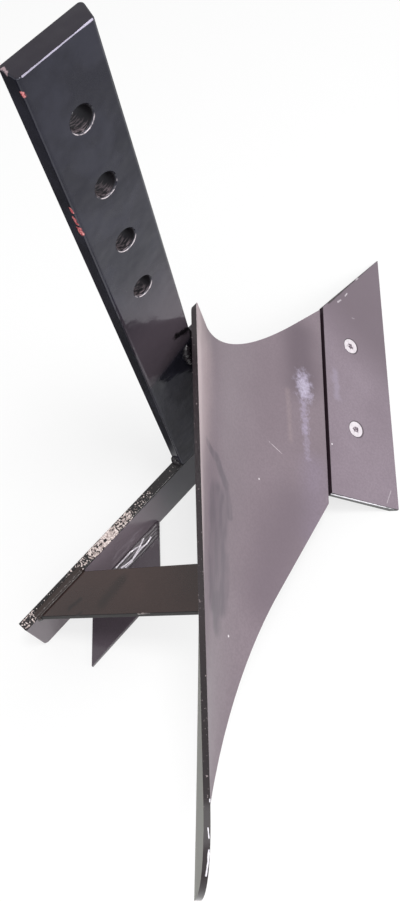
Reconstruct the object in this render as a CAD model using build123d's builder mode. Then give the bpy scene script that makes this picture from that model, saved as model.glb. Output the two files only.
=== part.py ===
# Right-hand plough for a walking tractor: upright shank on a landside, bolted share and twisted moldboard.
import os
from math import cos, radians, sin, tan

from build123d import *

# Shank: flat bar that stands on the landside and carries the hitch holes
shank_width = 50.0
shank_thickness = 15.0
shank_front_skew = 5.5
shank_top = 493.5
shank_edge_radius = 2.5
shank_end_radius = 1.0
hitch_hole_diameter = 15.0
hitch_hole_pitch = 48.0
hitch_hole_count = 4
first_hole_below_top = 43.0
hitch_hole_chamfer = 1.0

# Landside: upright flat bar that runs along the furrow wall
landside_height = 55.0
landside_thickness = 10.0
landside_tail = 197.0
landside_heel_radius = 5.0
landside_edge_radius = 1.0

# Sole plate: skewed plate at floor level beside the landside, measured back from the shank's rear edge
sole_thickness = 5.0
sole_width = 48.0
sole_start = 46.0
sole_length = 89.0
sole_end_angle = 45.0

# Share: flat blade with a straight cutting edge on the floor
share_angle = 41.45
share_slope = 39.0
share_thickness = 6.0
share_plan_width = 61.6
share_edge_offset = 196.0
tip_station = -256.0
wing_station = 31.5
wing_chamfer = 1.0

# Frog: flat plate under the share and the foot of the moldboard
frog_thickness = 6.0
frog_below_joint = 48.0
frog_above_joint = 25.0
frog_wing_margin = 16.5

# Share bolts: countersunk socket bolts with plain nuts
bolt_diameter = 8.0
bolt_head_diameter = 16.0
bolt_head_sink = 0.3
bolt_hole_clearance = 0.4
bolt_spacing = 91.5
bolt_wing_margin = 72.5
bolt_below_joint = 33.0
bolt_end_past_nut = 2.0
socket_across_flats = 5.0
socket_depth = 2.6
nut_across_flats = 13.0
nut_height = 6.5
nut_bore_clearance = 0.2

# Moldboard: sheet ruled between a bent section at the landside and a more curled one past the tail
board_thickness = 4.0
board_joint_gap = 2.5
board_top = 230.5
root_station = -192.0
root_setback = 98.8
root_top_angle = 80.4
root_bend_radius = 197.8
tail_station = 355.0
tail_setback = 72.3
tail_top_angle = 106.8
tail_bend_radius = 80.0
board_past_wing = 9.0
tail_end_station = 341.0
tail_end_height = 61.0
tail_upper_radius = 55.0
tail_lower_radius = 4.0
board_land_radius = 6.0

# Rear brace: flat strip from the landside's rear up to the back of the moldboard
brace_thickness = 5.0
brace_start = 128.8
brace_foot = 52.0
brace_tilt = 30.0
brace_heading = 55.0

# Neck gusset: plate between the front of the shank and the back of the moldboard
gusset_thickness = 8.0
gusset_below_top = 21.5
gusset_height = 59.0

# Clearances: at the neck between shank and board, and where a piece is cut to the board's curved back
neck_gap = 4.3
seat_clearance = 0.3

# Directions on the floor: along the cutting edge towards the wing, and square to it towards the front
along = Vector(sin(radians(share_angle)), -cos(radians(share_angle)), 0)
ahead = Vector(cos(radians(share_angle)), sin(radians(share_angle)), 0)
up = Vector(0, 0, 1)
slope_cos = cos(radians(share_slope))
slope_sin = sin(radians(share_slope))
far = 2 * shank_top

# Planes of the blade: its top face, and the common seat of share and moldboard on the frog
share_length_up = share_plan_width / slope_cos
blade_normal = ahead * slope_sin + up * slope_cos
blade_plane = Plane(origin=ahead * share_edge_offset, x_dir=along, z_dir=blade_normal)
seat_plane = blade_plane.offset(-share_thickness)
frog_under = seat_plane.offset(-frog_thickness)

# Land face: outer side of the landside, where the share's joint and the moldboard end
land_face = -landside_thickness
land_plane = Plane(origin=(land_face, 0, 0), z_dir=(1, 0, 0))
furrow_plane = Plane(origin=(0, 0, 0), z_dir=(1, 0, 0))
joint_offset = share_edge_offset - share_plan_width
land_corner_station = (land_face - ahead.X * joint_offset) / along.X

# Foot of the moldboard: its back lies on the seat, a gap above the share's upper edge
foot_up = share_length_up + board_joint_gap
foot_drop = share_thickness - board_thickness
foot_offset = share_edge_offset - foot_up * slope_cos - foot_drop * slope_sin
foot_height = foot_up * slope_sin - foot_drop * slope_cos
board_wing_station = wing_station + board_past_wing
tail_end_low = board_top - tail_end_height

# Place of the shank: its front edge stands a gap behind the top of the moldboard's back
top_drift = (root_setback - tail_setback) / (tail_station - root_station)
neck_station = -ahead.X * (foot_offset - root_setback) / along.X
neck_offset = foot_offset - root_setback + (neck_station - root_station) * top_drift - board_thickness
shank_front = neck_offset / ahead.Y - neck_gap
shank_rear = shank_front - shank_width
shank_front_slope = shank_front_skew / shank_thickness


def bent_section(setback, top_angle, depth, foot_run, top_run):
    """Foot, corner and top of a section that lies depth behind the moldboard's front face."""
    lean = radians(top_angle)
    foot_dir = Vector(-slope_cos, slope_sin)
    top_dir = Vector(-cos(lean), sin(lean))
    foot = Vector(foot_offset, foot_height) - Vector(slope_sin, slope_cos) * depth
    top = Vector(foot_offset - setback, board_top) - Vector(sin(lean), cos(lean)) * depth
    rise = top - foot
    run = rise.cross(top_dir).Z / foot_dir.cross(top_dir).Z
    return foot - foot_dir * foot_run, foot + foot_dir * run, top + top_dir * top_run


sections = (
    (root_station, root_setback, root_top_angle, root_bend_radius),
    (tail_station, tail_setback, tail_top_angle, tail_bend_radius),
)

# Moldboard: ruled between the two sections, then cut to its outline and to the land face
with BuildPart() as moldboard:
    for station, setback, top_angle, radius in sections:
        front = bent_section(setback, top_angle, 0, 0, 3 * board_thickness)
        back = bent_section(setback, top_angle, board_thickness, 0, 3 * board_thickness)
        with BuildSketch(Plane(origin=along * station, x_dir=ahead, z_dir=along)):
            with BuildLine():
                FilletPolyline(*front, radius=radius)
                FilletPolyline(*back, radius=radius + board_thickness)
                Line(front[0], back[0])
                Line(front[2], back[2])
            make_face()
    loft(ruled=True)
    with BuildSketch(Plane(origin=(0, 0, 0), x_dir=along, z_dir=-ahead)) as board_outline:
        with BuildLine():
            Polyline(
                (root_station - shank_width, 0),
                (board_wing_station, 0),
                (board_wing_station, foot_height),
                (tail_end_station, tail_end_low),
                (tail_end_station, board_top),
                (root_station - shank_width, board_top),
                close=True,
            )
        make_face()
        fillet(board_outline.vertices().group_by(Axis.X)[-1].sort_by(Axis.Y)[-1], radius=tail_upper_radius)
        fillet(board_outline.vertices().group_by(Axis.X)[-1].sort_by(Axis.Y)[0], radius=tail_lower_radius)
    extrude(amount=far, both=True, mode=Mode.INTERSECT)
    with BuildSketch(Plane.XZ) as land_outline:
        with BuildLine():
            Polyline((land_face, 0), (far, 0), (far, board_top), (land_face, board_top), close=True)
        make_face()
        fillet(land_outline.vertices().group_by(Axis.X)[0].sort_by(Axis.Y)[-1], radius=board_land_radius)
    extrude(amount=far, both=True, mode=Mode.INTERSECT)

# Space ahead of the moldboard's back, used to cut the pieces that meet it
with BuildPart() as board_space:
    for station, setback, top_angle, radius in sections:
        depth = board_thickness + seat_clearance
        back = bent_section(setback, top_angle, depth, share_plan_width / 2, shank_width)
        with BuildSketch(Plane(origin=along * station, x_dir=ahead, z_dir=along)):
            with BuildLine():
                FilletPolyline(*back, radius=radius + depth)
                Polyline(back[2], (far, back[2].Y), (far, back[0].Y), back[0])
            make_face()
    loft(ruled=True)

# Share: blade on its plane, ground flat where it meets the floor
bolt_row = bolt_below_joint - share_length_up
bolt_stations = (wing_station - bolt_wing_margin, wing_station - bolt_wing_margin - bolt_spacing)
with BuildPart() as share:
    with BuildSketch(blade_plane):
        with BuildLine():
            Polyline(
                (tip_station, 0),
                (wing_station, 0),
                (wing_station, -share_length_up),
                (land_corner_station, -share_length_up),
                close=True,
            )
        make_face()
    extrude(amount=-share_thickness)
    split(bisect_by=Plane.XY, keep=Keep.TOP)
    wing_face = share.faces().sort_by(Axis(origin=(0, 0, 0), direction=along))[-1]
    chamfer(wing_face.edges().sort_by(Axis.Z)[-2:].sort_by(SortBy.LENGTH)[-1], length=wing_chamfer)
    with Locations(*[blade_plane * Location((station, bolt_row, 0)) for station in bolt_stations]):
        CounterSinkHole(
            radius=(bolt_diameter + bolt_hole_clearance) / 2,
            counter_sink_radius=(bolt_head_diameter + bolt_hole_clearance) / 2 + bolt_head_sink,
            depth=far,
        )

# Frog: plate that joins share, moldboard and landside
with BuildPart() as frog:
    with BuildSketch(seat_plane):
        with BuildLine():
            Polyline(
                (tip_station - share_length_up, frog_below_joint - share_length_up),
                (wing_station - frog_wing_margin, frog_below_joint - share_length_up),
                (wing_station - frog_wing_margin, -frog_above_joint - share_length_up),
                (tip_station - share_length_up, -frog_above_joint - share_length_up),
                close=True,
            )
        make_face()
    extrude(amount=-frog_thickness)
    split(bisect_by=land_plane, keep=Keep.TOP)
    with Locations(*[seat_plane * Location((station, bolt_row, 0)) for station in bolt_stations]):
        Hole(radius=(bolt_diameter + bolt_hole_clearance) / 2, depth=2 * frog_thickness)

# Landside: bar with rounded edges, cut at the front to lie under the frog
frog_foot_up = share_length_up - frog_below_joint
frog_foot_drop = share_thickness + frog_thickness
frog_foot_offset = share_edge_offset - frog_foot_up * slope_cos - frog_foot_drop * slope_sin
landside_front = frog_foot_offset / ahead.Y
landside_rear = shank_rear - landside_tail
with BuildPart() as landside:
    with BuildSketch(Plane.YZ) as landside_outline:
        with BuildLine():
            Polyline(
                (landside_rear, 0),
                (landside_front, 0),
                (landside_front, landside_height),
                (landside_rear, landside_height),
                close=True,
            )
        make_face()
        heel = landside_outline.vertices().sort_by(Axis.X)[:2].sort_by(Axis.Y)[0]
        fillet(heel, radius=landside_heel_radius)
    extrude(amount=-landside_thickness)
    fillet(landside.faces().filter_by(Axis.X).edges(), radius=landside_edge_radius)
    split(bisect_by=frog_under, keep=Keep.BOTTOM)

# Shank: stands on the landside's top edge with the furrow faces in line, its front edge sheared at a slant
with BuildPart() as shank:
    with BuildSketch(Plane.XY.offset(landside_height)) as shank_section:
        with BuildLine():
            Polyline(
                (0, shank_rear),
                (0, shank_front),
                (-shank_thickness, shank_front + shank_front_skew),
                (-shank_thickness, shank_rear),
                close=True,
            )
        make_face()
        fillet(shank_section.vertices(), radius=shank_edge_radius)
    extrude(amount=shank_top - landside_height)
    fillet(shank.faces().sort_by(Axis.Z)[-1].edges(), radius=shank_end_radius)
    with BuildSketch(Plane.YZ):
        with Locations(((shank_front + shank_rear) / 2, shank_top - first_hole_below_top)):
            with Locations(*[(0, -i * hitch_hole_pitch) for i in range(hitch_hole_count)]):
                Circle(hitch_hole_diameter / 2)
    extrude(amount=-shank_thickness, mode=Mode.SUBTRACT)
    hole_rims = shank.edges().filter_by(GeomType.CIRCLE).filter_by(
        lambda rim: abs(rim.radius - hitch_hole_diameter / 2) < hitch_hole_chamfer / 10
    )
    chamfer(hole_rims, length=hitch_hole_chamfer)

# Sole plate: parallelogram welded to the foot of the landside
sole_skew = sole_width / tan(radians(sole_end_angle))
sole_front = shank_rear - sole_start
with BuildPart() as sole_plate:
    with BuildSketch(Plane.XY):
        with BuildLine():
            Polyline(
                (0, sole_front),
                (sole_width, sole_front - sole_skew),
                (sole_width, sole_front - sole_length - sole_skew),
                (0, sole_front - sole_length),
                close=True,
            )
        make_face()
    extrude(amount=sole_thickness)

# Rear brace: strip that rises from the landside's top line to the moldboard
brace_normal = Vector(-sin(radians(brace_tilt)), 0, cos(radians(brace_tilt)))
brace_corner = Vector(0, shank_rear - brace_start, landside_height)
brace_plane = Plane(origin=brace_corner, x_dir=(0, -1, 0), z_dir=brace_normal)
brace_run = foot_offset + brace_start + brace_foot
brace_across = brace_run / cos(radians(brace_tilt))
brace_drift = brace_run / tan(radians(brace_heading))
with BuildPart() as rear_brace:
    with BuildSketch(brace_plane):
        with BuildLine():
            Polyline(
                (brace_drift, -brace_across),
                (-brace_drift, brace_across),
                (brace_foot - brace_drift, brace_across),
                (brace_foot + brace_drift, -brace_across),
                close=True,
            )
        make_face()
    extrude(amount=-brace_thickness)
    split(bisect_by=furrow_plane, keep=Keep.TOP)
    add(board_space.part, mode=Mode.SUBTRACT)

# Neck gusset: fills the throat between shank and moldboard
gusset_furrow = land_face + gusset_thickness
gusset_front = foot_offset / ahead.Y
with BuildPart() as neck_gusset:
    with BuildSketch(Plane.XY.offset(board_top - gusset_below_top)):
        with BuildLine():
            Polyline(
                (land_face, shank_front - land_face * shank_front_slope),
                (land_face, gusset_front),
                (gusset_furrow, gusset_front),
                (gusset_furrow, shank_front - gusset_furrow * shank_front_slope),
                close=True,
            )
        make_face()
    extrude(amount=-gusset_height)
    add(board_space.part, mode=Mode.SUBTRACT)

# Share bolts and nuts: heads just below the blade's face, nuts against the frog
head_height = (bolt_head_diameter - bolt_diameter) / 2
clamped = share_thickness + frog_thickness
bolt_end = -(clamped + nut_height + bolt_end_past_nut)
fasteners = []
for place, station in zip(("rear", "front"), bolt_stations):
    bolt_plane = Plane(blade_plane * Location((station, bolt_row, 0)))
    with BuildPart() as bolt:
        with BuildSketch(Plane(origin=bolt_plane.origin, x_dir=bolt_plane.x_dir, z_dir=-bolt_plane.y_dir)):
            with BuildLine():
                Polyline(
                    (0, -bolt_head_sink),
                    (bolt_head_diameter / 2, -bolt_head_sink),
                    (bolt_diameter / 2, -bolt_head_sink - head_height),
                    (bolt_diameter / 2, bolt_end),
                    (0, bolt_end),
                    close=True,
                )
            make_face()
        revolve(axis=Axis(bolt_plane.origin, bolt_plane.z_dir))
        with BuildSketch(bolt_plane.offset(-bolt_head_sink)):
            RegularPolygon(radius=socket_across_flats / 2, side_count=6, major_radius=False)
        extrude(amount=-socket_depth, mode=Mode.SUBTRACT)
    with BuildPart() as nut:
        with BuildSketch(bolt_plane.offset(-clamped)):
            RegularPolygon(radius=nut_across_flats / 2, side_count=6, major_radius=False)
            Circle((bolt_diameter + nut_bore_clearance) / 2, mode=Mode.SUBTRACT)
        extrude(amount=-nut_height)
    fasteners.append((bolt, "share_bolt_" + place))
    fasteners.append((nut, "share_nut_" + place))

# Hand over every piece in one frame: floor at zero, origin under the middle of the whole plough
pieces = [
    (shank, "shank"),
    (landside, "landside"),
    (sole_plate, "sole_plate"),
    (frog, "frog"),
    (moldboard, "moldboard"),
    (share, "share"),
    (rear_brace, "rear_brace"),
    (neck_gusset, "neck_gusset"),
] + fasteners
whole = Compound([piece.part for piece, name in pieces]).bounding_box()
to_frame = Location((-whole.center().X, -whole.center().Y, -whole.min.Z))
os.makedirs("parts", exist_ok=True)
for piece, name in pieces:
    placed = piece.part.moved(to_frame)
    placed.label = name
    export_step(placed, "parts/" + name + ".step")
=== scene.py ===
# Right-hand plough for a walking tractor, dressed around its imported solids:
# gloss black paint, dust, weld beads and worn edges.
import random
from math import cos, pi, radians, sin

import bmesh
import bpy
from mathutils import Matrix, Vector
from mathutils.bvhtree import BVHTree


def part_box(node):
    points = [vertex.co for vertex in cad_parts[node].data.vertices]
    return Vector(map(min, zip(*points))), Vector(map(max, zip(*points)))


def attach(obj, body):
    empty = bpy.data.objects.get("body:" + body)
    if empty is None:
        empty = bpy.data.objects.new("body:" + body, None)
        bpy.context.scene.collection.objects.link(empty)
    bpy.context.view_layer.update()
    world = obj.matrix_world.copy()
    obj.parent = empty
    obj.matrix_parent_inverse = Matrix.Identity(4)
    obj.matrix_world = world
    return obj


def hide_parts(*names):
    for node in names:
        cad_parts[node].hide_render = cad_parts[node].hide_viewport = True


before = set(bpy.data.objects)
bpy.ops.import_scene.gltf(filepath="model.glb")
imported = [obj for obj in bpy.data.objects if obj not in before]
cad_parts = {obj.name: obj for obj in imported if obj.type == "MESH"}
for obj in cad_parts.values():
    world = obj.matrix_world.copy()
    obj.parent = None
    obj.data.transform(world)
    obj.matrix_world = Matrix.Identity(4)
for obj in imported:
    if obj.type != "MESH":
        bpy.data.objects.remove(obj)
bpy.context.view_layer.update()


# Shank: upright flat bar of mild steel, sheared to length and drilled for the hitch bolts.
# It is sprayed gloss black, rubbed thin at the top corner, with red paint rubbed off on the rear edge.
# The solid from the source is kept as it is and only gets its finish here.
def paint_shade(red, green, blue):
    """A screen colour from 0 to 255 as the linear colour that the shaders use."""
    levels = [level / 255 for level in (red, green, blue)]
    return tuple(v / 12.92 if v < 0.04045 else ((v + 0.055) / 1.055) ** 2.4 for v in levels) + (1.0,)


def add_node(tree, kind, feeds, **options):
    """Puts a shader node into a tree, sets its options and feeds its sockets with values or links."""
    made = tree.nodes.new("ShaderNode" + kind)
    for option, value in options.items():
        setattr(made, option, value)
    for socket, value in feeds.items():
        if isinstance(value, bpy.types.NodeSocket):
            tree.links.new(value, made.inputs[socket])
        else:
            made.inputs[socket].default_value = value
    return made


def reckon(tree, operation, *values, clamp=False):
    """One sum on numbers."""
    return add_node(tree, "Math", dict(enumerate(values)), operation=operation, use_clamp=clamp).outputs[0]


def reckon_vector(tree, operation, *values):
    """One sum on vectors: a number comes out of lengths and dot products, a vector out of the rest."""
    made = add_node(tree, "VectorMath", dict(enumerate(values)), operation=operation)
    return made.outputs["Value" if operation in ("DOT_PRODUCT", "LENGTH", "DISTANCE") else "Vector"]


def overlap(tree, mask, *others):
    """What several masks cover together."""
    for other in others:
        mask = reckon(tree, "MULTIPLY", mask, other)
    return mask


def parts_of(tree, vector):
    """The X, Y and Z of a vector."""
    return add_node(tree, "SeparateXYZ", {0: vector}).outputs


def ramp(tree, value, low, high, start=0.0, end=1.0):
    """Goes smoothly from start to end while the value goes from low to high."""
    feeds = {"Value": value, "From Min": low, "From Max": high, "To Min": start, "To Max": end}
    return add_node(tree, "MapRange", feeds, interpolation_type="SMOOTHSTEP").outputs["Result"]


def cover(tree, share, under, over):
    """Lays one colour over another by a mask."""
    return add_node(tree, "Mix", {0: share, 6: under, 7: over}, data_type="RGBA").outputs[2]


def speckle(tree, vector, scale, detail=2.0):
    """Even noise from 0 to 1, with its scale in patches a metre."""
    return add_node(tree, "TexNoise", {"Vector": vector, "Scale": scale, "Detail": detail}).outputs["Fac"]


def new_effect(name, inputs, outputs):
    """An empty effect with named sockets that several finishes share."""
    tree = bpy.data.node_groups.new(name, "ShaderNodeTree")
    for socket, kind in inputs.items():
        tree.interface.new_socket(name=socket, in_out="INPUT", socket_type="NodeSocket" + kind)
    for socket, kind in outputs.items():
        tree.interface.new_socket(name=socket, in_out="OUTPUT", socket_type="NodeSocket" + kind)
    return tree, tree.nodes.new("NodeGroupInput").outputs, tree.nodes.new("NodeGroupOutput").inputs


def use_effect(tree, effect, feeds):
    """Puts a shared effect into a finish."""
    return add_node(tree, "Group", feeds, node_tree=effect).outputs


# Sprayed film: cloudy dust over a dark tint, with the fine peel of spray paint
paint_film, given, made = new_effect(
    "paint_film",
    {"Vector": "Vector", "Tint": "Color", "Dust Tint": "Color", "Dust": "Float", "Gloss": "Float"},
    {"Color": "Color", "Roughness": "Float", "Height": "Float"},
)
clouds = speckle(paint_film, given["Vector"], 9.0, 5.0)
grains = speckle(paint_film, given["Vector"], 820.0)
peel = speckle(paint_film, given["Vector"], 260.0, 1.0)
dust_share = overlap(paint_film, ramp(paint_film, clouds, 0.3, 0.75), given["Dust"])
grain_share = overlap(paint_film, ramp(paint_film, grains, 0.45, 0.75), given["Dust"])
dusted = reckon(paint_film, "MULTIPLY_ADD", grain_share, 0.3, dust_share, clamp=True)
paint_film.links.new(cover(paint_film, dusted, given["Tint"], given["Dust Tint"]), made["Color"])
dull = reckon(paint_film, "MULTIPLY_ADD", dusted, 0.25, given["Gloss"])
paint_film.links.new(reckon(paint_film, "MULTIPLY_ADD", peel, 0.04, dull), made["Roughness"])
paint_film.links.new(peel, made["Height"])

# Stroke: a rub, scratch or paint mark along a straight line on the surface, with a ragged border
stroke, given, made = new_effect(
    "stroke",
    {
        "Vector": "Vector", "From": "Vector", "To": "Vector", "Width": "Float", "Ragged": "Float",
        "Fineness": "Float", "Firm": "Float",
    },
    {"Mask": "Float"},
)
reach = reckon_vector(stroke, "SUBTRACT", given["To"], given["From"])
gone = reckon_vector(stroke, "SUBTRACT", given["Vector"], given["From"])
run = reckon_vector(stroke, "DOT_PRODUCT", reach, reach)
along_run = reckon(stroke, "DIVIDE", reckon_vector(stroke, "DOT_PRODUCT", gone, reach), run, clamp=True)
nearest = add_node(stroke, "VectorMath", {0: reach, "Scale": along_run}, operation="SCALE").outputs["Vector"]
away = reckon_vector(stroke, "DISTANCE", gone, nearest)
torn = reckon(stroke, "SUBTRACT", speckle(stroke, given["Vector"], given["Fineness"], 4.0), 0.5)
torn = overlap(stroke, torn, given["Ragged"], given["Width"])
border = reckon(stroke, "ADD", away, torn)
inner = reckon(stroke, "MULTIPLY", given["Width"], given["Firm"])
stroke.links.new(ramp(stroke, border, inner, given["Width"], 1.0, 0.0), made["Mask"])


def new_finish(slot_name):
    """A material with its shader, and the object coordinates that its patterns read."""
    finish = bpy.data.materials.new(slot_name)
    finish.use_nodes = True
    tree = finish.node_tree
    return finish, tree, tree.nodes["Principled BSDF"], tree.nodes.new("ShaderNodeTexCoord").outputs


def lay_film(tree, shader, place, tint, dust_tint, dust, gloss):
    """Feeds a shader from the sprayed film and gives its colour and roughness for what lies on top."""
    peel_height = 0.00003
    shader.inputs["Specular IOR Level"].default_value = 0.4
    film = use_effect(tree, paint_film, {
        "Vector": place, "Tint": tint, "Dust Tint": dust_tint, "Dust": dust, "Gloss": gloss,
    })
    relief = add_node(tree, "Bump", {"Height": film["Height"], "Distance": peel_height, "Strength": 0.6})
    tree.links.new(relief.outputs["Normal"], shader.inputs["Normal"])
    tree.links.new(film["Color"], shader.inputs["Base Color"])
    tree.links.new(film["Roughness"], shader.inputs["Roughness"])
    return film["Color"], film["Roughness"]


def mark(tree, place, start, end, width, ragged=0.6, fineness=300.0, firm=0.55, strength=1.0):
    """The mask of one stroke between two points in millimetres, with its half width in millimetres."""
    mask = use_effect(tree, stroke, {
        "Vector": place,
        "From": [c / 1000 for c in start],
        "To": [c / 1000 for c in end],
        "Width": width / 1000,
        "Ragged": ragged,
        "Fineness": fineness,
        "Firm": firm,
    })["Mask"]
    return mask if strength == 1.0 else overlap(tree, mask, strength)


def mottled(tree, place, low, high, dark, pale):
    """Fine specks of a pale shade in a dark one."""
    specks = ramp(tree, speckle(tree, place, 900.0), low, high)
    return cover(tree, specks, paint_shade(*dark), paint_shade(*pale))


def wear_over(tree, shader, colour, roughness, mask, bare, bare_roughness):
    """Lays a worn spot over a finish."""
    colour = cover(tree, mask, colour, bare)
    spread = reckon(tree, "SUBTRACT", bare_roughness, roughness)
    roughness = reckon(tree, "MULTIPLY_ADD", mask, spread, roughness)
    tree.links.new(colour, shader.inputs["Base Color"])
    tree.links.new(roughness, shader.inputs["Roughness"])
    return colour, roughness


def dress(node, finish):
    """Gives a finish to a solid that stays as the source made it."""
    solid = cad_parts[node]
    solid.data.materials.clear()
    solid.data.materials.append(finish)


shank_low, shank_high = (corner * 1000 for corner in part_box("shank"))
shank_paint, tree, shader, coords = new_finish("shank_paint")
place = coords["Object"]
colour, roughness = lay_film(
    tree, shader, place, paint_shade(20, 20, 29), paint_shade(58, 56, 66), 0.25, 0.05
)
# Paler bluish patches at random: a painted stand-in for the cloudy reflections in the gloss
painted_cloudy_reflection = ramp(tree, speckle(tree, place, 36.0, 3.0), 0.42, 0.66, 0.0, 0.6)
colour, roughness = wear_over(tree, shader, colour, roughness, painted_cloudy_reflection, paint_shade(46, 46, 57), 0.09)
shader.inputs["Specular Tint"].default_value = (0.86, 0.88, 1.0, 1.0)
facing = parts_of(tree, coords["Normal"])
# Up-facing faces, such as the sheared top end, are painted darker: painted shade
top_face_shade = ramp(tree, facing["Z"], 0.75, 0.95)
colour, roughness = wear_over(tree, shader, colour, roughness, top_face_shade, paint_shade(14, 5, 16), 0.2)

# Slight waves of the rolled bar under the peel of the paint, which cloud what the gloss mirrors
peeled = shader.inputs["Normal"].links[0].from_socket
rolled = speckle(tree, place, 42.0, 2.0)
waves = add_node(tree, "Bump", {"Height": rolled, "Distance": 0.0012, "Strength": 0.7, "Normal": peeled})
tree.links.new(waves.outputs["Normal"], shader.inputs["Normal"])

# A mauve field on the furrow side above the throat: painted light and a painted reflection of the moldboard's
# back. The dark corner that its lower border leaves under the neck weld is painted shadow.
furrow_x, rear_y, top_z = shank_high.x, shank_low.y, shank_high.z
border_slope = 0.264
spot = parts_of(tree, place)
height = reckon(tree, "MULTIPLY_ADD", spot["Y"], -border_slope, spot["Z"])
above_border = ramp(tree, height, 0.208, 0.218)
below_holes = ramp(tree, spot["Z"], 0.24, 0.34, 1.0, 0.0)
painted_reflection_field = overlap(tree, above_border, below_holes, ramp(tree, facing["X"], 0.5, 0.9))
colour, roughness = wear_over(tree, shader, colour, roughness, painted_reflection_field, paint_shade(74, 66, 73), 0.12)
# A dark mark beside the neck weld: a painted dark reflection of the weld
neck_dark_reflection = mark(tree, place, (furrow_x, -7.5, 229.0), (furrow_x, 2.0, 225.0), 5.0, 1.4, 260.0, 0.2)
colour, roughness = wear_over(tree, shader, colour, roughness, neck_dark_reflection, paint_shade(18, 15, 18), 0.2)

# Bare walls of the four hitch holes, which a drill left brown and scored. Their forward part is painted
# shade, and a painted highlight lies on the chamfer at the lower rim.
hole_row_y, top_hole_z, hole_pitch = -0.0207, 0.4505, 0.048
row_low, row_high = top_hole_z - 3.4 * hole_pitch, top_hole_z + 0.02
off_y = reckon(tree, "SUBTRACT", spot["Y"], hole_row_y)
off_z = reckon(tree, "SUBTRACT", spot["Z"], top_hole_z)
off_z = reckon(tree, "WRAP", off_z, hole_pitch / 2, -hole_pitch / 2)
off_z_squared = reckon(tree, "POWER", off_z, 2.0)
from_axis = reckon(tree, "SQRT", reckon(tree, "ADD", reckon(tree, "POWER", off_y, 2.0), off_z_squared))
drilled = reckon(tree, "GREATER_THAN", spot["Z"], row_low)
drilled = overlap(tree, drilled, reckon(tree, "LESS_THAN", spot["Z"], row_high))
bore = overlap(tree, ramp(tree, from_axis, 0.0077, 0.0080, 1.0, 0.0), drilled)
scored = speckle(tree, reckon_vector(tree, "MULTIPLY", place, (6.0, 1.0, 1.0)), 260.0, 4.0)
# The rear of each bore is painted as lit and the forward part dark: painted shade
bore_lit_side = ramp(tree, off_y, 0.0055, 0.0015)
lit_score = overlap(tree, ramp(tree, scored, 0.46, 0.62), bore_lit_side)
bore_shade = cover(tree, lit_score, paint_shade(16, 13, 16), paint_shade(112, 101, 105))
colour, roughness = wear_over(tree, shader, colour, roughness, bore, bore_shade, 0.5)
# Painted highlight on the chamfer of the lower rim, broken up by noise
rim_highlight = overlap(tree, ramp(tree, from_axis, 0.0080, 0.0082), ramp(tree, from_axis, 0.0084, 0.0086, 1.0, 0.0))
lower_half = ramp(tree, off_z, -0.001, -0.005)
broken_highlight = ramp(tree, speckle(tree, place, 180.0), 0.35, 0.55)
rim_highlight = overlap(tree, rim_highlight, drilled, lower_half, broken_highlight)
colour, roughness = wear_over(tree, shader, colour, roughness, rim_highlight, paint_shade(200, 190, 194), 0.35)

# Top edge: worn paint with a painted highlight along it; a rubbed corner, and the red paint on the rear edge
edge_x, edge_z = furrow_x - 0.2, top_z - 0.2
edge_wear_and_highlight = mark(tree, place, (edge_x, rear_y + 3.5, edge_z), (edge_x, 3.0, edge_z), 0.55, 1.6, 90.0)
patchy = ramp(tree, speckle(tree, place, 38.0), 0.35, 0.6, 0.45, 1.0)
edge_wear_and_highlight = overlap(tree, edge_wear_and_highlight, patchy)
colour, roughness = wear_over(tree, shader, colour, roughness, edge_wear_and_highlight, paint_shade(166, 160, 177), 0.25)
corner_start = (furrow_x - 11.5, rear_y + 1.5, top_z)
corner_end = (furrow_x - 8.0, rear_y + 0.8, top_z - 0.6)
rubbed_corner = mark(tree, place, corner_start, corner_end, 1.2, 2.0, 500.0)
colour, roughness = wear_over(tree, shader, colour, roughness, rubbed_corner, paint_shade(134, 116, 120), 0.5)
red = mottled(tree, place, 0.4, 0.65, (176, 60, 70), (236, 160, 158))
for down, across, length, width in (
    (8.3, -0.7, 1.6, 1.6), (88.5, -2.2, 3.0, 1.2), (96.5, -2.9, 4.5, 1.7), (105.5, -2.5, 4.0, 2.2),
):
    start = (furrow_x + across, rear_y + 0.3, top_z - down)
    end = (furrow_x + across + 0.5, rear_y + 0.3, top_z - down - length)
    rubbed_off = mark(tree, place, start, end, width, ragged=1.8, fineness=420.0)
    colour, roughness = wear_over(tree, shader, colour, roughness, rubbed_off, red, 0.4)
dress("shank", shank_paint)


# Landside: upright flat bar that slides along the furrow wall and carries the shank on its top edge.
# It is painted like the shank, and on the top edge the paint has flaked off down to pale scale.
# The solid from the source is kept and gets its finish here.
chips, given, made = new_effect(
    "chips", {"Vector": "Vector", "Share": "Float", "Fineness": "Float"}, {"Mask": "Float"}
)
flakes = speckle(chips, given["Vector"], given["Fineness"], 6.0)
flaked = reckon(chips, "SUBTRACT", reckon(chips, "ADD", flakes, given["Share"]), 1.0)
chips.links.new(ramp(chips, flaked, -0.02, 0.03), made["Mask"])


def flaked_off(tree, place, share, fineness):
    """The mask of the spots where paint has flaked off."""
    return use_effect(tree, chips, {"Vector": place, "Share": share, "Fineness": fineness})["Mask"]


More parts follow.
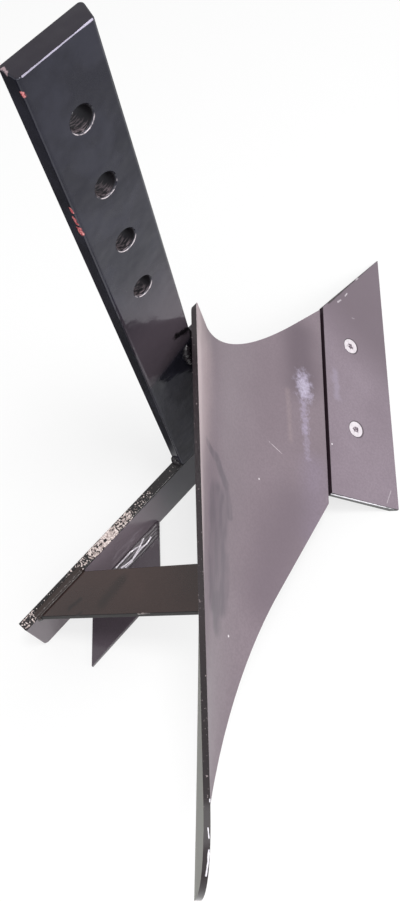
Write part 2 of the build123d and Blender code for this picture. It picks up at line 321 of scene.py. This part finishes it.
landside_low, landside_high = (corner * 1000 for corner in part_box("landside"))
landside_paint, tree, shader, coords = new_finish("landside_paint")
place = coords["Object"]
colour, roughness = lay_film(
    tree, shader, place, paint_shade(134, 121, 130), paint_shade(160, 149, 157), 0.5, 0.1
)
spot = parts_of(tree, place)
forward = ramp(tree, spot["Y"], -0.12, -0.06)
colour, roughness = wear_over(tree, shader, colour, roughness, forward, paint_shade(84, 83, 89), 0.08)
heel = ramp(tree, spot["Y"], -0.175, -0.205, 0.0, 0.7)
colour, roughness = wear_over(tree, shader, colour, roughness, heel, paint_shade(98, 89, 95), 0.1)
edge_middle_x = (landside_low.x + landside_high.x) / 2
land_x, seat_x, seat_z = landside_low.x, landside_high.x, landside_high.z
on_top = ramp(tree, spot["Z"], 0.0536, 0.0544)
colour, roughness = wear_over(tree, shader, colour, roughness, on_top, paint_shade(26, 23, 25), 0.2)
scale = mottled(tree, place, 0.35, 0.65, (150, 132, 128), (238, 224, 220))
for front_y, back_y, width, share, fineness in (
    (-54.0, -86.0, 7.0, 0.33, 620.0),
    (-88.0, -112.0, 7.0, 0.42, 600.0),
    (-113.0, -134.0, 7.5, 0.50, 560.0),
    (-133.0, -156.0, 7.5, 0.58, 430.0),
    (-158.0, -182.0, 7.0, 0.44, 560.0),
    (-184.0, -226.0, 7.0, 0.36, 620.0),
    (-230.0, -243.0, 7.0, 0.45, 600.0),
):
    start, end = (edge_middle_x, front_y, seat_z), (edge_middle_x, back_y, seat_z)
    stretch = mark(tree, place, start, end, width, 0.8, 110.0)
    flaked = flaked_off(tree, place, overlap(tree, stretch, on_top, share), fineness)
    colour, roughness = wear_over(tree, shader, colour, roughness, flaked, scale, 0.5)
dress("landside", landside_paint)


# Sole plate: skewed plate that stands on the floor beside the landside's rear end, sheared from flat steel.
# It is welded along the foot of the landside and painted with the frame.
# Its sheared edges are broken by a small rounding, so a copy of the solid stands in for it.
frame_paint, tree, shader, coords = new_finish("frame_paint")
lay_film(tree, shader, coords["Object"], paint_shade(76, 68, 75), paint_shade(110, 101, 109), 0.5, 0.1)


def joined_faces(node):
    """A working copy of a solid with the triangles of each flat face joined, and its sharp edges."""
    same_point, same_plane, sharp_from = 0.000004, radians(0.05), radians(24)
    work = bmesh.new()
    work.from_mesh(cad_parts[node].data)
    bmesh.ops.remove_doubles(work, verts=work.verts, dist=same_point)
    bmesh.ops.dissolve_limit(work, angle_limit=same_plane, verts=work.verts, edges=work.edges)
    return work, [e for e in work.edges if e.is_manifold and e.calc_face_angle() > sharp_from]


def show_piece(name, work, finish):
    """Puts a finished working mesh into the scene as a smooth piece on the plough's body."""
    for face in work.faces:
        face.smooth = True
    mesh = bpy.data.meshes.new(name)
    work.to_mesh(mesh)
    work.free()
    mesh.materials.append(finish)
    piece = bpy.data.objects.new(name, mesh)
    bpy.context.scene.collection.objects.link(piece)
    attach(piece, "root")
    return piece


def broken_edges(node, rounding, finish):
    """A copy of a sheared or ground piece with its sharp edges broken, in the place of the solid."""
    work, sharp = joined_faces(node)
    bmesh.ops.bevel(
        work, geom=sharp, offset=rounding / 1000, affect="EDGES", segments=3, profile=0.5, material=-1,
        clamp_overlap=True,
    )
    piece = show_piece(node + "_broken_edges", work, finish)
    steady = piece.modifiers.new("even_faces", "WEIGHTED_NORMAL")
    steady.keep_sharp = True
    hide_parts(node)


broken_edges("sole_plate", 0.6, frame_paint)


# Frog: flat plate under the share and the foot of the moldboard, drilled for the share bolts.
# It is welded to the top of the landside and painted with the frame.
# Edges as on the sole plate.
broken_edges("frog", 0.7, frame_paint)


# Neck gusset: short plate that fills the throat between the shank and the back of the moldboard.
# It is welded on both sides and painted with the frame.
# Edges as on the sole plate.
broken_edges("neck_gusset", 0.6, frame_paint)


# Rear brace: flat strip that stays the moldboard's tail from the landside, cut to the board's curved back.
# Its paint is thin and lets brown show, with painted shade on the rear edge, a few smudges and one bare
# fleck.
# Edges as on the sole plate.
brace_paint, tree, shader, coords = new_finish("brace_paint")
place = coords["Object"]
colour, roughness = lay_film(tree, shader, place, paint_shade(40, 22, 19), paint_shade(82, 62, 58), 0.4, 0.14)
rear_edge_normal = (0.407, -0.888, 0.234)
rear_edge_shade = reckon_vector(tree, "DOT_PRODUCT", coords["Normal"], rear_edge_normal)
rear_edge_shade = ramp(tree, rear_edge_shade, 0.25, 0.55)
colour, roughness = wear_over(tree, shader, colour, roughness, rear_edge_shade, paint_shade(16, 12, 13), 0.6)
for start, end, width, ragged, fineness, firm, strength, shade in (
    ((-75.8, -159.2, 79.1), (-74.1, -182.1, 80.1), 10.0, 0.7, 70.0, 0.0, 0.6, (26, 20, 20)),
    ((-95.6, -193.7, 67.7), (-97.8, -204.0, 66.4), 3.6, 1.6, 220.0, 0.2, 0.6, (20, 16, 17)),
    ((-84.5, -200.0, 74.1), (-86.5, -206.0, 73.0), 2.2, 1.6, 260.0, 0.2, 0.6, (20, 16, 17)),
    ((-38.0, -171.0, 99.9), (-29.5, -164.6, 104.9), 1.0, 1.9, 420.0, 0.2, 0.8, (150, 140, 138)),
):
    marked_area = mark(tree, place, start, end, width, ragged, fineness, firm, strength)
    colour, roughness = wear_over(tree, shader, colour, roughness, marked_area, paint_shade(*shade), 0.3)
broken_edges("rear_brace", 0.7, brace_paint)


# Moldboard: sheet bent and twisted so that the soil rolls over to the right, its foot welded to the frog.
# The front is gloss paint under dust, its pale tone partly a painted reflection, with smears, painted light,
# a painted highlight patch and scratches. The back is dark and dusty, paler toward the tail as a painted
# reflection. Its sheared edges are broken like the other plates'.
blade_angle, blade_slope = radians(41.45), radians(39.0)
ahead = Vector((cos(blade_angle), sin(blade_angle), 0.0))
blade_normal = ahead * sin(blade_slope) + Vector((0.0, 0.0, cos(blade_slope)))
up_blade = Vector((0.0, 0.0, sin(blade_slope))) - ahead * cos(blade_slope)
board_paint, tree, shader, coords = new_finish("board_paint")
place = coords["Object"]
spot = parts_of(tree, place)
# The front's pale dusty tone is partly dust and partly a painted reflection of the sky
front_film = use_effect(tree, paint_film, {
    "Vector": place, "Dust": 0.35, "Gloss": 0.3,
    "Tint": paint_shade(122, 109, 117), "Dust Tint": paint_shade(146, 133, 141),
})
dust_and_sheen = front_film["Color"]
# Rows: a paler band near the neck, painted light; darker areas at the upper right and low in the middle; a
# lavender tone toward the wing; a pale streak; a painted highlight patch; a scratch and two bare specks
for start, end, width, ragged, fineness, firm, strength, shade in (
    ((-106.0, 6.0, 195.0), (-70.0, -38.0, 198.0), 40.0, 0.3, 30.0, 0.0, 0.75, (178, 160, 163)),
    ((-118.0, 120.0, 66.0), (-84.0, 88.0, 68.0), 34.0, 0.3, 30.0, 0.1, 0.8, (92, 80, 89)),
    ((-20.0, 24.0, 59.0), (16.0, -22.0, 63.0), 26.0, 0.3, 30.0, 0.0, 0.6, (130, 118, 134)),
    ((-8.0, -18.0, 74.0), (28.0, -92.0, 95.0), 42.0, 0.3, 30.0, 0.0, 0.7, (108, 96, 105)),
    ((-84.0, 65.0, 76.0), (-50.0, 29.0, 75.0), 4.5, 0.5, 60.0, 0.0, 0.35, (150, 134, 136)),
    ((-84.5, 88.0, 65.2), (-73.0, 77.5, 63.9), 12.5, 1.8, 240.0, 0.0, 0.85, (172, 163, 184)),
    ((-81.0, 83.0, 65.4), (-76.0, 79.0, 64.6), 8.5, 1.6, 380.0, 0.0, 0.75, (184, 176, 196)),
    ((-68.0, 68.0, 64.4), (-50.0, 49.0, 64.2), 6.5, 2.4, 320.0, 0.0, 0.6, (164, 154, 176)),
    ((-50.0, 49.0, 64.2), (-30.0, 28.0, 63.7), 5.0, 2.4, 320.0, 0.0, 0.35, (164, 154, 176)),
    ((-58.9, 10.7, 91.6), (-45.2, 12.1, 80.8), 0.55, 1.2, 500.0, 0.4, 0.9, (222, 212, 216)),
    ((-39.2, -23.3, 99.6), (-39.0, -23.5, 99.6), 1.0, 0.4, 300.0, 0.6, 1.0, (240, 234, 236)),
    ((35.3, -140.1, 128.5), (35.4, -140.3, 128.5), 1.3, 0.4, 300.0, 0.6, 1.0, (240, 234, 236)),
):
    marked_area = mark(tree, place, start, end, width, ragged, fineness, firm, strength)
    dust_and_sheen = cover(tree, marked_area, dust_and_sheen, paint_shade(*shade))

# Wiped smears over the middle of the board, in level streaks
streaks = speckle(tree, reckon_vector(tree, "MULTIPLY", place, (0.2, 0.2, 1.0)), 170.0, 2.0)
streaks = ramp(tree, streaks, 0.32, 0.62, 0.45, 0.95)
for start, end, width, ragged, fineness, firm in (
    ((-62.4, -45.8, 184.0), (-57.7, -45.3, 156.0), 5.0, 1.2, 110.0, 0.4),
    ((-57.7, -45.3, 156.0), (-43.2, -53.1, 137.4), 6.0, 1.1, 100.0, 0.45),
    ((-40.0, -57.0, 136.0), (-25.1, -69.8, 131.0), 5.2, 1.2, 110.0, 0.45),
    ((-33.0, -72.5, 152.0), (14.0, -122.5, 149.5), 22.0, 0.7, 60.0, 0.65),
    ((18.0, -126.0, 149.0), (29.0, -140.0, 147.0), 11.0, 0.8, 70.0, 0.4),
):
    wiped = mark(tree, place, start, end, width, ragged, fineness, firm)
    dust_and_sheen = cover(tree, overlap(tree, wiped, streaks), dust_and_sheen, paint_shade(97, 88, 97))


def gritty(tree, place, colour, shade):
    """Lays fine grit over a dusty face."""
    grit = ramp(tree, speckle(tree, place, 480.0, 3.0), 0.4, 0.62, 0.0, 0.24)
    return cover(tree, grit, colour, paint_shade(*shade))


# Grit all over, and a painted highlight, paler, that grows toward the top edge in two steps
dust_and_sheen = gritty(tree, place, dust_and_sheen, (106, 94, 102))
patchy = ramp(tree, speckle(tree, place, 14.0), 0.3, 0.6, 0.55, 0.95)
patchy = overlap(tree, patchy, ramp(tree, spot["Y"], -0.22, -0.06, 0.4, 1.0))
gleam_top, gleam_strength = 0.222, 0.9
for gleam_foot, shade in ((0.165, (200, 184, 187)), (0.205, (216, 200, 202))):
    gleam = overlap(tree, ramp(tree, spot["Z"], gleam_foot, gleam_top, 0.0, gleam_strength), patchy)
    dust_and_sheen = cover(tree, gleam, dust_and_sheen, paint_shade(*shade))

# The cut edges keep plain black paint, and the front's and back's dust, with their painted reflections, lies
# over it
colour, roughness = lay_film(
    tree, shader, place, paint_shade(28, 22, 25), paint_shade(58, 50, 53), 0.4, 0.12
)
# The back is dark, and paler toward the tail: a painted reflection
tail_reflection = ramp(tree, spot["Y"], -0.09, -0.175)
back_film = use_effect(tree, paint_film, {
    "Vector": place, "Dust": 0.4, "Gloss": 0.2,
    "Tint": cover(tree, tail_reflection, paint_shade(44, 41, 44), paint_shade(118, 118, 112)),
    "Dust Tint": cover(tree, tail_reflection, paint_shade(78, 74, 78), paint_shade(146, 145, 140)),
})
faced = reckon_vector(tree, "DOT_PRODUCT", coords["Normal"], tuple(ahead))
front = ramp(tree, faced, 0.1, 0.6)
colour, roughness = wear_over(tree, shader, colour, roughness, front, dust_and_sheen, 0.34)
back = ramp(tree, faced, -0.3, -0.5)
colour, roughness = wear_over(tree, shader, colour, roughness, back, back_film["Color"], 0.6)

# Sheared top edge: a few flecks, and a painted highlight along the tail's corner
fleck_share = overlap(tree, ramp(tree, spot["Z"], 0.2299, 0.2303), 0.31)
flecks = flaked_off(tree, place, fleck_share, 700.0)
colour, roughness = wear_over(tree, shader, colour, roughness, flecks, paint_shade(132, 120, 122), 0.4)
for start, end, width in (
    ((114.3, -224.3, 230.4), (114.9, -225.0, 230.4), 1.0),
    ((123.0, -236.2, 228.1), (126.7, -239.8, 226.3), 0.5),
    ((130.5, -244.6, 223.2), (134.1, -250.3, 218.8), 0.8),
    ((134.1, -250.3, 218.8), (137.1, -256.6, 212.5), 0.7),
):
    tail_highlight = mark(tree, place, start, end, width, 1.0, 260.0, 0.2)
    colour, roughness = wear_over(tree, shader, colour, roughness, tail_highlight, paint_shade(236, 232, 240), 0.25)
broken_edges("moldboard", 1.3, board_paint)


# Share: flat blade of harder steel, bolted to the frog ahead of the moldboard, its cutting edge on the floor.
# Its face is dusty gloss paint like the moldboard's front, bright at the wing's end from worn paint and a
# painted highlight, with flecks and painted shade along the land edge.
# Edges as on the moldboard, only finer.
share_paint, tree, shader, coords = new_finish("share_paint")
place = coords["Object"]
face_film = use_effect(tree, paint_film, {
    "Vector": place, "Dust": 0.4, "Gloss": 0.3,
    "Tint": paint_shade(124, 111, 121), "Dust Tint": paint_shade(158, 145, 156),
})
colour, roughness = lay_film(
    tree, shader, place, paint_shade(40, 44, 42), paint_shade(84, 86, 84), 0.4, 0.25
)
toward_point = ramp(tree, parts_of(tree, place)["Y"], 0.13, 0.2, 0.0, 0.7)
worn_face = cover(tree, toward_point, face_film["Color"], paint_shade(98, 86, 94))
worn_face = gritty(tree, place, worn_face, (110, 98, 108))
faced = reckon_vector(tree, "DOT_PRODUCT", coords["Normal"], tuple(blade_normal))
on_face = ramp(tree, faced, 0.86, 0.97)
colour, roughness = wear_over(tree, shader, colour, roughness, on_face, worn_face, 0.34)
at_joint = reckon_vector(tree, "DOT_PRODUCT", coords["Normal"], tuple(up_blade))
at_joint = ramp(tree, at_joint, 0.5, 0.8)
colour, roughness = wear_over(tree, shader, colour, roughness, at_joint, paint_shade(44, 31, 39), 0.3)
# Rows: painted shade along the land edge; a lavender rub; a bright line at the wing's end, worn paint and a
# painted highlight; pale flecks on the land edge; a bare speck and a scratch
for start, end, width, ragged, fineness, firm, strength, shade in (
    ((-128.0, 177.5, 44.9), (-141.4, 275.5, 0.5), 1.8, 0.9, 90.0, 0.4, 0.85, (54, 48, 50)),
    ((-74.0, 121.0, 43.0), (-55.0, 100.3, 42.5), 7.0, 2.0, 160.0, 0.0, 0.25, (172, 164, 186)),
    ((3.4, 19.5, 48.6), (49.2, 59.3, 1.2), 0.9, 0.8, 420.0, 0.55, 1.0, (236, 232, 240)),
    ((-124.4, 188.4, 37.4), (-125.0, 193.0, 34.6), 1.2, 1.9, 520.0, 0.1, 0.8, (206, 198, 204)),
    ((-125.9, 201.6, 31.2), (-127.2, 206.5, 29.0), 1.0, 1.9, 520.0, 0.1, 0.8, (206, 198, 204)),
    ((-133.8, 229.8, 20.9), (-134.6, 234.0, 18.6), 1.1, 1.9, 520.0, 0.1, 0.8, (206, 198, 204)),
    ((-105.7, 187.5, 26.6), (-104.2, 189.0, 25.2), 1.2, 1.8, 520.0, 0.1, 0.45, (176, 166, 174)),
    ((-27.1, 58.1, 48.1), (-26.9, 58.3, 48.0), 0.8, 0.4, 420.0, 0.55, 1.0, (240, 234, 238)),
    ((33.4, 69.7, 5.3), (38.6, 56.5, 9.2), 0.6, 1.2, 420.0, 0.2, 0.7, (186, 178, 184)),
):
    share_mark = mark(tree, place, start, end, width, ragged, fineness, firm, strength)
    colour, roughness = wear_over(tree, shader, colour, roughness, share_mark, paint_shade(*shade), 0.3)

# Painted shadow in the countersinks, below each bolt head
bolt_heads = {}
for end in ("front", "rear"):
    corners = [v.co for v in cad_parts["share_bolt_" + end].data.vertices]
    crown = max(c.dot(blade_normal) for c in corners)
    rim_points = [c for c in corners if c.dot(blade_normal) > crown - 0.0001]
    bolt_heads[end] = sum(rim_points, Vector()) / len(rim_points) * 1000
    below = bolt_heads[end] - up_blade * 0.6
    countersink_shadow = mark(tree, place, tuple(below), tuple(below - blade_normal), 9.3, 0.1, 300.0, 0.9, 0.75)
    colour, roughness = wear_over(tree, shader, colour, roughness, countersink_shadow, paint_shade(78, 67, 75), 0.4)
broken_edges("share", 0.6, share_paint)


# Share bolts and nuts: countersunk socket bolts of zinc-plated steel with plain hexagon nuts under the frog.
# The heads lie just below the face of the share.
# Their edges are broken by the rolling and pressing.
zinc, tree, shader, coords = new_finish("zinc")
place = coords["Object"]
cloudy = speckle(tree, place, 260.0, 3.0)
colour = cover(tree, cloudy, paint_shade(214, 205, 212), paint_shade(244, 237, 242))
roughness = ramp(tree, cloudy, 0.3, 0.7, 0.28, 0.42)
shader.inputs["Metallic"].default_value = 0.75
for head in bolt_heads.values():
    grime = mark(tree, place, tuple(head), tuple(head - blade_normal * 3), 3.9, 2.0, 420.0, 0.4)
    colour, roughness = wear_over(tree, shader, colour, roughness, grime, paint_shade(124, 113, 121), 0.5)
for end in ("front", "rear"):
    broken_edges("share_bolt_" + end, 0.25, zinc)
    broken_edges("share_nut_" + end, 0.5, zinc)


# Welds: beads laid by hand where the painted pieces meet, sprayed over with the same gloss black.
# Each follows the edge of a piece along its neighbour, in overlapping ripples, and ends in a round crater.
# The furrow side of the shank's foot was ground flush, so it has none.
weld_paint, tree, shader, coords = new_finish("weld_paint")
place = coords["Object"]
colour, roughness = lay_film(
    tree, shader, place, paint_shade(66, 59, 65), paint_shade(106, 97, 104), 0.4, 0.3
)
off_floor = ramp(tree, parts_of(tree, place)["Z"], 0.02, 0.04)
colour, roughness = wear_over(tree, shader, colour, roughness, off_floor, paint_shade(34, 30, 34), 0.07)
foot_x = seat_x - 3.0
by_brace = mark(tree, place, (foot_x, -160.0, seat_z), (foot_x, -230.0, seat_z), 7.0, 0.3, 200.0, 0.5)
colour, roughness = wear_over(tree, shader, colour, roughness, by_brace, paint_shade(46, 35, 32), 0.2)

# Painted highlights in runs of points along the sole plate's weld, as seen from above
gleam_shade = paint_shade(238, 230, 240)
from_above = reckon_vector(tree, "MULTIPLY", place, (1.0, 1.0, 0.0))
for bright_run, width in (
    (((-114.9, -114.1), (-113.2, -120.8), (-115.4, -132.2), (-115.2, -142.4), (-115.3, -150.7)), 0.8),
    (((-111.2, -108.5), (-109.9, -115.6), (-110.8, -120.9), (-110.4, -127.7)), 0.95),
    (((-110.4, -127.7), (-109.4, -135.6), (-111.8, -147.5)), 0.95),
    (((-112.4, -120.5), (-110.3, -133.4)), 0.7),
    (((-108.8, -136.2), (-109.5, -144.9)), 0.7),
):
    for start, end in zip(bright_run, bright_run[1:]):
        gleam = mark(tree, from_above, (*start, 0.0), (*end, 0.0), width, 0.9, 420.0, 0.2)
        colour, roughness = wear_over(tree, shader, colour, roughness, gleam, gleam_shade, 0.15)


def meeting_lines(node, neighbour, within, keep):
    """Sharp edges of a piece that lie against its neighbour, joined end to end into lines of points."""
    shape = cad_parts[neighbour].data
    wall = BVHTree.FromPolygons([v.co for v in shape.vertices], [list(p.vertices) for p in shape.polygons])
    work, sharp = joined_faces(node)
    left = {
        e for e in sharp
        if all(wall.find_nearest(v.co)[3] < within for v in e.verts)
        and keep((e.verts[0].co + e.verts[1].co) * 500)
    }
    lines = []
    while left:
        ends = {}
        for e in left:
            for v in e.verts:
                ends.setdefault(v, []).append(e)
        corner = min(ends, key=lambda v: (len(ends[v]) != 1, v.index))
        line = [corner.co.copy()]
        while True:
            onward = [e for e in corner.link_edges if e in left]
            if not onward:
                break
            left.discard(onward[0])
            corner = onward[0].other_vert(corner)
            line.append(corner.co.copy())
        lines.append(line)
    work.free()
    return lines


def weld_bead(name, lines, radius, ripple=3.4, lumps=0.1, flat=1.0):
    """Lays a bead of overlapping ripples along lines of points, each closed by a crater at its ends."""
    ring_gap, ring_points, crater = 0.0011, 10, 0.4
    wobble = random.Random(name)
    work = bmesh.new()
    for line in lines:
        lengths = [(b - a).length for a, b in zip(line, line[1:])]
        total = sum(lengths)
        steps = max(6, round(total / ring_gap))
        stations = []
        for k in range(steps + 1):
            gone = total * k / steps
            leg = 0
            while leg < len(lengths) - 1 and gone > lengths[leg]:
                gone -= lengths[leg]
                leg += 1
            stations.append(line[leg].lerp(line[leg + 1], gone / lengths[leg]))
        side = None
        cap = None
        for k, spot in enumerate(stations):
            heading = (stations[min(k + 1, steps)] - stations[max(k - 1, 0)]).normalized()
            if side is None:
                side = heading.orthogonal() if flat == 1.0 else heading.cross(Vector((0.0, 0.0, 1.0)))
            side -= heading * side.dot(heading)
            side.normalize()
            travelled = total * k / steps * 1000
            uneven = abs(sin(pi * travelled / ripple)) + wobble.uniform(-0.3, 0.3)
            swell = 1.0 - lumps + lumps * uneven
            to_end = min(travelled, total * 1000 - travelled)
            swell *= min(1.0, crater + (1.0 - crater) * to_end / radius)
            turn = Matrix((side, heading.cross(side) * flat, heading)).transposed().to_4x4()
            set_ring = Matrix.Translation(spot) @ turn @ Matrix.Scale(radius / 1000 * swell, 4)
            if cap is None:
                ring = bmesh.ops.create_circle(
                    work, cap_ends=True, segments=ring_points, radius=1.0, matrix=set_ring
                )["verts"]
                cap = ring[0].link_faces[0]
                shape = [set_ring.inverted() @ v.co for v in cap.verts]
            else:
                grown = bmesh.ops.extrude_face_region(work, geom=[cap], use_keep_orig=True)["geom"]
                if k > 1:
                    bmesh.ops.delete(work, geom=[cap], context="FACES_ONLY")
                cap = next(g for g in grown if isinstance(g, bmesh.types.BMFace))
                for v, rest in zip(cap.verts, shape):
                    v.co = set_ring @ rest
    bmesh.ops.recalc_face_normals(work, faces=work.faces)
    piece = show_piece(name, work, weld_paint)


def straight(*points):
    """One line through points in millimetres."""
    return [[Vector(point) / 1000 for point in points]]


def above_floor(spot):
    """Leaves out what lies on the floor, where no bead fits."""
    return spot.z > 2.0


sole_low, sole_high = (corner * 1000 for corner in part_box("sole_plate"))
for run, (out, rise, radius) in enumerate(
    ((1.2, 2.8, 3.0), (3.8, 2.0, 2.7), (6.3, 1.2, 2.5), (8.7, 0.3, 2.2))
):
    seam_x, seam_z = sole_low.x + out, sole_high.z + rise
    points = [
        (seam_x + 0.4 * sin(step * 1.9 + run * 1.3), sole_high.y - out - 11.0 * step, seam_z)
        for step in range(9)
    ]
    weld_bead("weld_sole_plate_%d" % run, straight(*points), radius, 16.0, 0.015, 0.5)
weld_bead("weld_brace_foot", meeting_lines("rear_brace", "landside", 0.0012, above_floor), 2.0)
brace_points = [v.co * 1000 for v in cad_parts["rear_brace"].data.vertices]
foot_ys = [point.y for point in brace_points if point.x < seat_x + 0.5]
brace_seam_x = seat_x - 3.2
weld_bead(
    "weld_brace_top",
    straight((brace_seam_x, max(foot_ys) + 2, seat_z), (brace_seam_x, min(foot_ys) - 1, seat_z)),
    3.6, 5.0, 0.2, 0.4,
)
weld_bead("weld_brace_board", meeting_lines("rear_brace", "moldboard", 0.0008, above_floor), 2.6)
weld_bead("weld_gusset_board", meeting_lines("neck_gusset", "moldboard", 0.0008, above_floor), 2.6)
weld_bead("weld_gusset_shank", meeting_lines("neck_gusset", "shank", 0.0008, above_floor), 2.6)
weld_bead("weld_frog", meeting_lines("landside", "frog", 0.0012, lambda spot: spot.x > -119.0), 2.6)
weld_bead("weld_frog_board", meeting_lines("frog", "moldboard", 0.0025, lambda spot: spot.z > 45.0), 2.4)
weld_bead(
    "weld_shank_rear", straight((land_x - 3, rear_y, seat_z), (furrow_x - 2.5, rear_y, seat_z)), 5.0, 4.0
)
weld_bead("weld_shank_land", straight((land_x, rear_y + 2, seat_z), (land_x, 4.0, seat_z)), 3.0)
weld_bead("weld_shank_front", straight((land_x + 1, 8.0, seat_z), (furrow_x - 1.5, 5.0, seat_z)), 2.6)
weld_bead(
    "weld_neck", straight((furrow_x, -2.4, 209.0), (furrow_x + 0.6, -5.2, 199.0), (furrow_x, -2.6, 184.0)),
    3.8, 5.0, 0.45,
)


# Floor, light and camera: a pale floor that keeps a faint shadow, soft light from all round and three lamps.
# What the gloss paint mirrors of the floor is dark on the land side and bright under the furrow side.
# The camera stands where the photograph was taken from: above the furrow side, behind the plough.
floor_reach = 30.0
work = bmesh.new()
bmesh.ops.create_grid(work, x_segments=1, y_segments=1, size=floor_reach)
floor_mesh = bpy.data.meshes.new("floor")
work.to_mesh(floor_mesh)
work.free()
floor = bpy.data.objects.new("floor", floor_mesh)
bpy.context.scene.collection.objects.link(floor)
floor_paper = bpy.data.materials.new("floor_paper")
floor_paper.use_nodes = True
tree = floor_paper.node_tree
tree.nodes.remove(tree.nodes["Principled BSDF"])
path = tree.nodes.new("ShaderNodeLightPath").outputs
across = parts_of(tree, tree.nodes.new("ShaderNodeTexCoord").outputs["Object"])["X"]
land_side_dark = ramp(tree, across, -0.17, -0.135, 0.05, 0.97)
far_side_dim = ramp(tree, across, 0.0, 0.4, 1.0, 0.62)
mirrored = overlap(tree, land_side_dark, far_side_dim)
for_light, for_eye, lit_share = (0.6, 0.6, 0.6, 1.0), (0.86, 0.86, 0.86, 1.0), 0.7
bounced = cover(tree, path["Is Glossy Ray"], for_light, mirrored)
ground = cover(tree, path["Is Camera Ray"], bounced, for_eye)
matt = add_node(tree, "BsdfDiffuse", {"Color": ground})
lit = add_node(tree, "Emission", {"Color": (1.0, 1.0, 1.0, 1.0), "Strength": 1.0})
share_lit = overlap(tree, path["Is Camera Ray"], lit_share)
mixed = add_node(tree, "MixShader", {0: share_lit, 1: matt.outputs[0], 2: lit.outputs[0]})
tree.links.new(mixed.outputs[0], tree.nodes["Material Output"].inputs["Surface"])
floor_mesh.materials.append(floor_paper)

world = bpy.data.worlds.new("soft_light")
world.use_nodes = True
bpy.context.scene.world = world
tree = world.node_tree
path = tree.nodes.new("ShaderNodeLightPath").outputs
level_lit, level_seen = 0.6, 1.0
seen = reckon(tree, "MAXIMUM", path["Is Camera Ray"], path["Is Glossy Ray"])
level = reckon(tree, "MULTIPLY_ADD", seen, level_seen - level_lit, level_lit)
tree.nodes["Background"].inputs["Color"].default_value = (1.0, 1.0, 1.0, 1.0)
tree.links.new(level, tree.nodes["Background"].inputs["Strength"])

aim = Vector((0.0, 0.0, 0.1))
for lamp_name, spot, width, power in (
    ("front_lamp", (1.35, 0.62, 1.35), 0.9, 11.0),
    ("fill_lamp", (0.45, -0.75, 1.3), 1.1, 8.0),
    ("overhead_lamp", (0.28, 0.15, 1.9), 0.35, 13.0),
):
    lamp = bpy.data.lights.new(lamp_name, "AREA")
    lamp.size = width
    lamp.energy = power
    stand = bpy.data.objects.new(lamp_name, lamp)
    stand.location = spot
    stand.rotation_euler = (aim - stand.location).to_track_quat("-Z", "Y").to_euler()
    bpy.context.scene.collection.objects.link(stand)

photo_width, photo_height = 400, 902
focal_px, centre_px = 850.24, (241.73, 426.82)
lens = bpy.data.cameras.new("camera")
lens.sensor_width = 36.0
lens.lens = focal_px * lens.sensor_width / photo_height
lens.shift_x = (photo_width / 2 - centre_px[0]) / photo_height
lens.shift_y = (centre_px[1] - photo_height / 2) / photo_height
camera = bpy.data.objects.new("camera", lens)
camera.location = (0.18616, -0.19105, 0.75738)
camera.rotation_euler = (radians(26.1174), radians(6.2459), radians(41.4837))
bpy.context.scene.collection.objects.link(camera)
bpy.context.scene.camera = camera
bpy.context.scene.view_settings.view_transform = "Standard"
